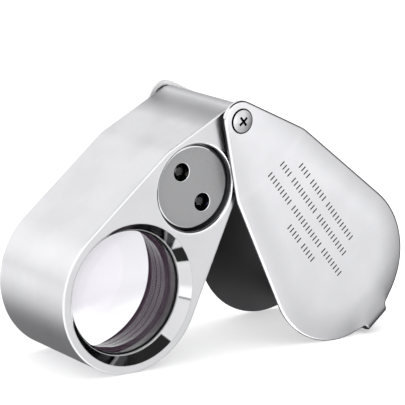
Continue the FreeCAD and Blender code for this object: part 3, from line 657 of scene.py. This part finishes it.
def pillowed_cover():
    """The CAD cover cut into a fine grid, with its outer faces sloping gently down to their edges."""
    shape = bmesh.new()
    shape.from_mesh(frame["nodes"]["swing_cover"].data)
    for direction, low, high in ((ACROSS, -16.2, 16.2), (DOWN, -3.6, 57.6)):
        for number in range(int((high - low) / GRID_SPACING) + 1):
            bmesh.ops.bisect_plane(
                shape,
                geom=shape.verts[:] + shape.edges[:] + shape.faces[:],
                dist=1e-8,
                plane_co=HINGE + direction * ((low + number * GRID_SPACING) * MM),
                plane_no=direction,
            )
    points = np.array([vert.co for vert in shape.verts], float)
    offset = (points - np.array(HINGE)) / MM
    across = offset @ np.array(ACROSS)
    down = offset @ np.array(DOWN)
    high = np.abs(points[:, 1]) / MM
    edge = np.clip(inset(across, down, outline_circles()) / PILLOW_REACH, 0, 1)
    drop = PILLOW_DROP * (1 - edge) ** 2.2
    # Flatter round the hinge and beside the strap, and nothing on the inner faces
    drop *= 0.35 + 0.65 * np.clip(down / 12, 0, 1)
    strap = np.clip((np.hypot(across * 1.6, down - 58.0) - 4.0) / 6.0, 0, 1)
    drop *= 0.4 + 0.6 * strap * strap * (3 - 2 * strap)
    drop += CURL_DROP * np.clip((down - CURL_START) / (STRAP_DOWN - CURL_START), 0, 1) ** 2
    drop *= np.clip((high - 12.45) / 1.1, 0, 1)
    for vert, amount in zip(shape.verts, drop):
        vert.co.y -= math.copysign(amount * MM, vert.co.y)
    for made in shape.faces:
        made.smooth = True
    mesh_data = bpy.data.meshes.new("cover_shell")
    shape.to_mesh(mesh_data)
    shape.free()
    for name in ("custom_normal", "sharp_edge", "sharp_face"):
        if name in mesh_data.attributes:
            mesh_data.attributes.remove(mesh_data.attributes[name])
    mesh_data.set_sharp_from_angle(angle=math.radians(30))
    return mesh_data


new_piece("cover_shell", pillowed_cover(), (COVER,), "cover", ("swing_cover",))

# ---------------------------------------------------------------- engraved rows

# How far across and down each row starts, in millimetres from the hinge, and the strokes per group
ROWS = (
    (4.9, 17.2, (4, 6, 11)),
    (1.8, 13.6, (4, 10, 12)),
    (-1.6, 13.2, (9, 12, 8)),
    (-4.6, 25.1, (5, 5)),
)
STROKE_PITCH = 0.98
STROKE_WIDTH = 0.3
STROKE_HEIGHT = 1.35
STROKE_CORNERS = 12
STROKE_TOP = -13.562 * MM
STROKE_FLOOR = -13.50 * MM


def engraved_rows():
    """Rows of plain upright strokes with rounded ends, as thin black fillings flush with the plate."""
    straight = STROKE_HEIGHT / 2 - STROKE_WIDTH / 2
    shape = bmesh.new()
    for across, start, groups in ROWS:
        down = start
        for count in groups:
            for _ in range(count):
                middle = HINGE + ACROSS * (across * MM) + DOWN * (down * MM)
                ring = []
                for step in range(STROKE_CORNERS):
                    angle = 2 * math.pi * step / STROKE_CORNERS
                    lift = math.copysign(straight, math.sin(angle + 1e-6))
                    upright = math.sin(angle) * STROKE_WIDTH / 2 + lift
                    level = math.cos(angle) * STROKE_WIDTH / 2
                    ring.append(middle + ACROSS * (upright * MM) + DOWN * (level * MM))
                top = [shape.verts.new((point.x, STROKE_TOP, point.z)) for point in ring]
                low = [shape.verts.new((point.x, STROKE_FLOOR, point.z)) for point in ring]
                shape.faces.new(top)
                for step in range(STROKE_CORNERS):
                    after = (step + 1) % STROKE_CORNERS
                    shape.faces.new((top[step], low[step], low[after], top[after]))
                down += STROKE_PITCH
            down += STROKE_PITCH * 0.75
    bmesh.ops.recalc_face_normals(shape, faces=shape.faces)
    mesh_data = bpy.data.meshes.new("engraved_rows")
    shape.to_mesh(mesh_data)
    shape.free()
    return mesh_data


INK = coated("engraving_fill", (0.03, 0.03, 0.034, 1), 0.45, 0.05, 0.1)
new_piece("engraved_rows", engraved_rows(), (INK,), "cover")

# ---------------------------------------------------------------- inside the lights

# The reflector cup and the die on its floor, as (radius, height) in millimetres
CUP_PROFILE = ((0.95, 8.35), (0.85, 8.4), (0.45, 7.85), (0, 7.8))
DIE_PROFILE = ((0, 8.02), (0.2, 8.0), (0.24, 7.94), (0.24, 7.82))


def led_piece(node, part, profile, steps, finish):
    """A small turned piece on the axis of a light."""
    middle = centre(node)
    origin = Vector((middle.x, 0, middle.z))
    points = [(radius * MM, height * MM, 0) for radius, height in profile]
    mesh_data = turned_mesh(f"{node}_{part}", points, origin, -1, steps)
    new_piece(f"{node}_{part}", mesh_data, (finish,), "housing")


for node, die_colour in (("white_led", (0.45, 0.42, 0.3, 1)), ("uv_led", (0.28, 0.24, 0.4, 1))):
    led_piece(node, "cup", CUP_PROFILE, 48, CUP)
    led_piece(node, "die", DIE_PROFILE, 24, coated(f"{node}_die", die_colour, 0.4, 0.05, 0.05))

# ---------------------------------------------------------------- floor and light


def paper_material():
    """Pale paper that shines a little. Seen through the lenses it is painted: darker pale lilac near the loupe as
    painted shade, to white further off, in soft clouds of painted light."""
    material, nodes = new_material("floor")
    place = object_place(nodes)
    speckle = nodes.noise(place, 2, 3.0)
    paper = nodes.mix(nodes.ramp(speckle, 0.3, 0.7), grey(0.9), grey(0.92))
    clouds = nodes.noise(place, 30, 1.0)
    reach = nodes.add("ShaderNodeVectorMath", {0: place}, operation="LENGTH").outputs[1]
    near_to_far = nodes.ramp(reach, 0.03, 0.12)
    far = nodes.math("ADD", near_to_far, nodes.ramp(clouds, 0.3, 0.7, -0.3, 0.3), clamp=True)
    # Only seen through glass: painted shade near the loupe and painted light in clouds.
    painted_through_glass = nodes.mix(far, (0.79, 0.765, 0.8, 1), (1.02, 1.0, 1.02, 1))
    path = nodes.add("ShaderNodeLightPath").outputs
    through = nodes.math("MINIMUM", path["Transmission Depth"], 1.0)
    paper = nodes.mix(through, paper, painted_through_glass)
    nodes.principled(
        {
            "Base Color": paper,
            "Roughness": 0.9,
            "Specular IOR Level": 0.0,
            "Emission Color": paper,
            "Emission Strength": nodes.ramp(through, 0.0, 1.0, 0.3, 0.0),
        }
    )
    return material


def build_floor():
    """A plain floor just under the loupe, which reflections don't see."""
    floor_mesh = bpy.data.meshes.new("floor")
    grid = bmesh.new()
    bmesh.ops.create_grid(grid, x_segments=2, y_segments=2, size=6.0)
    grid.to_mesh(floor_mesh)
    grid.free()
    floor = bpy.data.objects.new("floor", floor_mesh)
    bpy.context.scene.collection.objects.link(floor)
    floor.location.z = -0.01 * MM
    floor_mesh.materials.append(paper_material())
    floor.visible_glossy = False


def all_of(nodes, conditions):
    """The product of the conditions. Each is a factor or a (coordinate, from, to) edge."""
    product = None
    for condition in conditions:
        factor = nodes.ramp(*condition) if isinstance(condition, tuple) else condition
        product = factor if product is None else nodes.math("MULTIPLY", product, factor)
    return product


def window(nodes, value, low, high, edge):
    rise = (value, low - edge, low + edge)
    fall = (value, high - edge, high + edge, 1.0, 0.0)
    return all_of(nodes, (rise, fall))


def darken(nodes, light, to, *conditions):
    where = all_of(nodes, conditions)
    return nodes.math("MULTIPLY", light, nodes.ramp(where, 0.0, 1.0, 1.0, to, smooth=False))


def studio_light(nodes):
    """The studio's brightness by direction: pale all round, with lamps and darker cards."""
    direction = nodes.add("ShaderNodeTexCoord").outputs["Generated"]
    across, away, high = nodes.add("ShaderNodeSeparateXYZ", {"Vector": direction}).outputs
    side = nodes.math("ADD", nodes.math("MULTIPLY", across, 0.9), nodes.math("MULTIPLY", away, 0.43))
    # Where the direction meets a level ceiling or floor one unit away
    steep = nodes.math("MAXIMUM", nodes.math("ABSOLUTE", high), 0.02)
    plan_x = nodes.math("DIVIDE", across, steep)
    plan_y = nodes.math("DIVIDE", away, steep)
    above = nodes.ramp(high, -0.01, 0.01)
    below = nodes.math("SUBTRACT", 1.0, above)

    light = nodes.ramp(high, -0.30, -0.17, 0.8, 1.07)
    lamps = (
        # A box on the left, the key high behind, and a fill low in front
        (0.45, (across, 0.42, 0.1), (away, -0.3, -0.6)),
        (0.6, (high, 0.1, 0.5), (side, 0.1, -0.5), (away, 0.0, 0.3)),
        (0.5, (high, -0.6, -0.75), (away, -0.2, -0.35)),
    )
    for gain, *conditions in lamps:
        light = nodes.math("ADD", light, nodes.math("MULTIPLY", all_of(nodes, conditions), gain))

    cards = (
        # Three on the right, each darker than the one before
        (0.62, (side, 0.18, 0.5), (away, 0.72, 0.6)),
        (0.45, (side, 0.45, 0.78), (away, 0.72, 0.6)),
        (0.3, (side, 0.45, 0.78), (away, 0.45, 0.3)),
        # Two at the back on the right, the second low
        (0.58, (side, 0.45, 0.78), (away, 0.6, 0.72)),
        (0.4, (high, -0.1, -0.25), (across, 0.2, 0.45), (away, 0.6, 0.72)),
        # The wall on the left, and a low card on the right
        (0.72, above, (across, -0.38, -0.5), (away, 0.3, 0.1)),
        (0.82, (high, -0.25, -0.5), (across, 0.3, 0.5), (away, 0.2, 0.0)),
        # The black ceiling, the black ground on the right, and a black strip on the left
        (0.02, above, (plan_x, -0.56, -0.50), window(nodes, plan_y, -0.8, 0.9, 0.08)),
        (
            0.03,
            below,
            (plan_x, 0.0, 0.06),
            (plan_y, -0.35, -0.25),
            (away, 0.78, 0.72),
            (across, 0.68, 0.62),
        ),
        (
            0.03,
            below,
            window(nodes, plan_x, -0.88, -0.40, 0.03),
            window(nodes, plan_y, -0.35, 0.25, 0.04),
        ),
        # The floor far behind, and the line of the horizon on the left
        (0.15, (high, -0.3, -0.62), (away, 0.2, 0.6)),
        (0.4, window(nodes, high, 0.01, 0.05, 0.01), (across, -0.2, -0.4)),
    )
    for level, *conditions in cards:
        light = darken(nodes, light, level, *conditions)

    # A reflection in a reflection sees it all much darker, except for a glint low on the right
    path = nodes.add("ShaderNodeLightPath").outputs
    glint = all_of(nodes, ((across, 0.5, 0.65), (high, -0.25, -0.4), (away, 0.1, -0.1)))
    not_glint = nodes.math("SUBTRACT", 1.0, glint)
    return darken(nodes, light, 0.04, (path["Glossy Depth"], 1.0, 2.0), not_glint)


def build_world():
    """Reflections see the studio. Straight on and through glass the world is plain white, but it is
    nearly black there too after a second reflection."""
    world = bpy.data.worlds.new("studio")
    bpy.context.scene.world = world
    world.use_nodes = True
    world.cycles.sampling_method = "NONE"
    nodes = Nodes(world.node_tree)
    light = studio_light(nodes)
    path = nodes.add("ShaderNodeLightPath").outputs
    reflected = nodes.math("MINIMUM", path["Glossy Depth"], 1.0)
    through = nodes.math("MINIMUM", path["Transmission Depth"], 1.0)
    studio = nodes.math("MULTIPLY", reflected, nodes.math("SUBTRACT", 1.0, through))
    seen = nodes.add("ShaderNodeCombineColor", {0: light, 1: light, 2: light}).outputs[0]
    white = nodes.ramp(path["Glossy Depth"], 1.0, 2.0, 1.18, 0.04)
    plain = nodes.add("ShaderNodeCombineColor", {0: white, 1: white, 2: white}).outputs[0]
    colour = nodes.mix(studio, plain, seen)
    background = nodes.add("ShaderNodeBackground", {"Color": colour, "Strength": 1.0})
    nodes.output(background, "ShaderNodeOutputWorld")


build_floor()
build_world()
